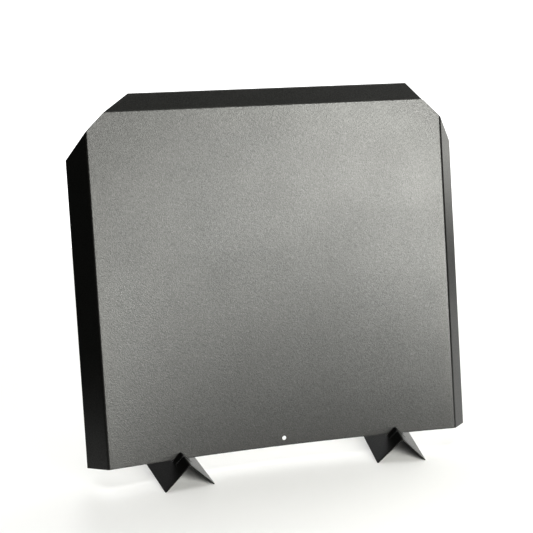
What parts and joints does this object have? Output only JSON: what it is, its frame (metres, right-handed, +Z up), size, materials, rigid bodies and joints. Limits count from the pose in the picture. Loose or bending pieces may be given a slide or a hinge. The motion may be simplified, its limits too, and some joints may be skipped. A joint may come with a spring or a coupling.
{
  "type": "fireplace screen",
  "caption": "Free-standing sheet-metal fireplace screen: a folded panel with angled wings and cut corners, leaning back in slotted bent-sheet feet.",
  "frame": {"origin": "middle of the footprint, on the floor that the feet stand on", "axes": "+Z up, +X across the panel to the right as seen from the front, +Y towards the fire, away from the panel's front face"},
  "size_m": [0.4942, 0.1576, 0.4585],
  "materials": {
    "panel_powder_coat": "fine-texture satin black coat, taken from its look to be powder coat on steel sheet",
    "foot_powder_coat": "fine-texture satin black coat, taken from its look to be powder coat on steel sheet"
  },
  "bodies": {
    "left_foot": {"left_foot": "foot_powder_coat"},
    "panel": {"screen_panel": "panel_powder_coat"},
    "right_foot": {"right_foot": "foot_powder_coat"}
  },
  "joints": [
    {"name": "panel_lift", "type": "slide", "parent": "left_foot", "child": "panel", "axis": [0, 0.2351, 0.972], "range_m": [0, 0.04]},
    {"name": "right_foot_release", "type": "slide", "parent": "panel", "child": "right_foot", "axis": [0, -0.2351, -0.972], "range_m": [0, 0.04]}
  ],
  "couplings": [
    {"joint": "right_foot_release", "follows": "panel_lift", "ratio": 1}
  ]
}
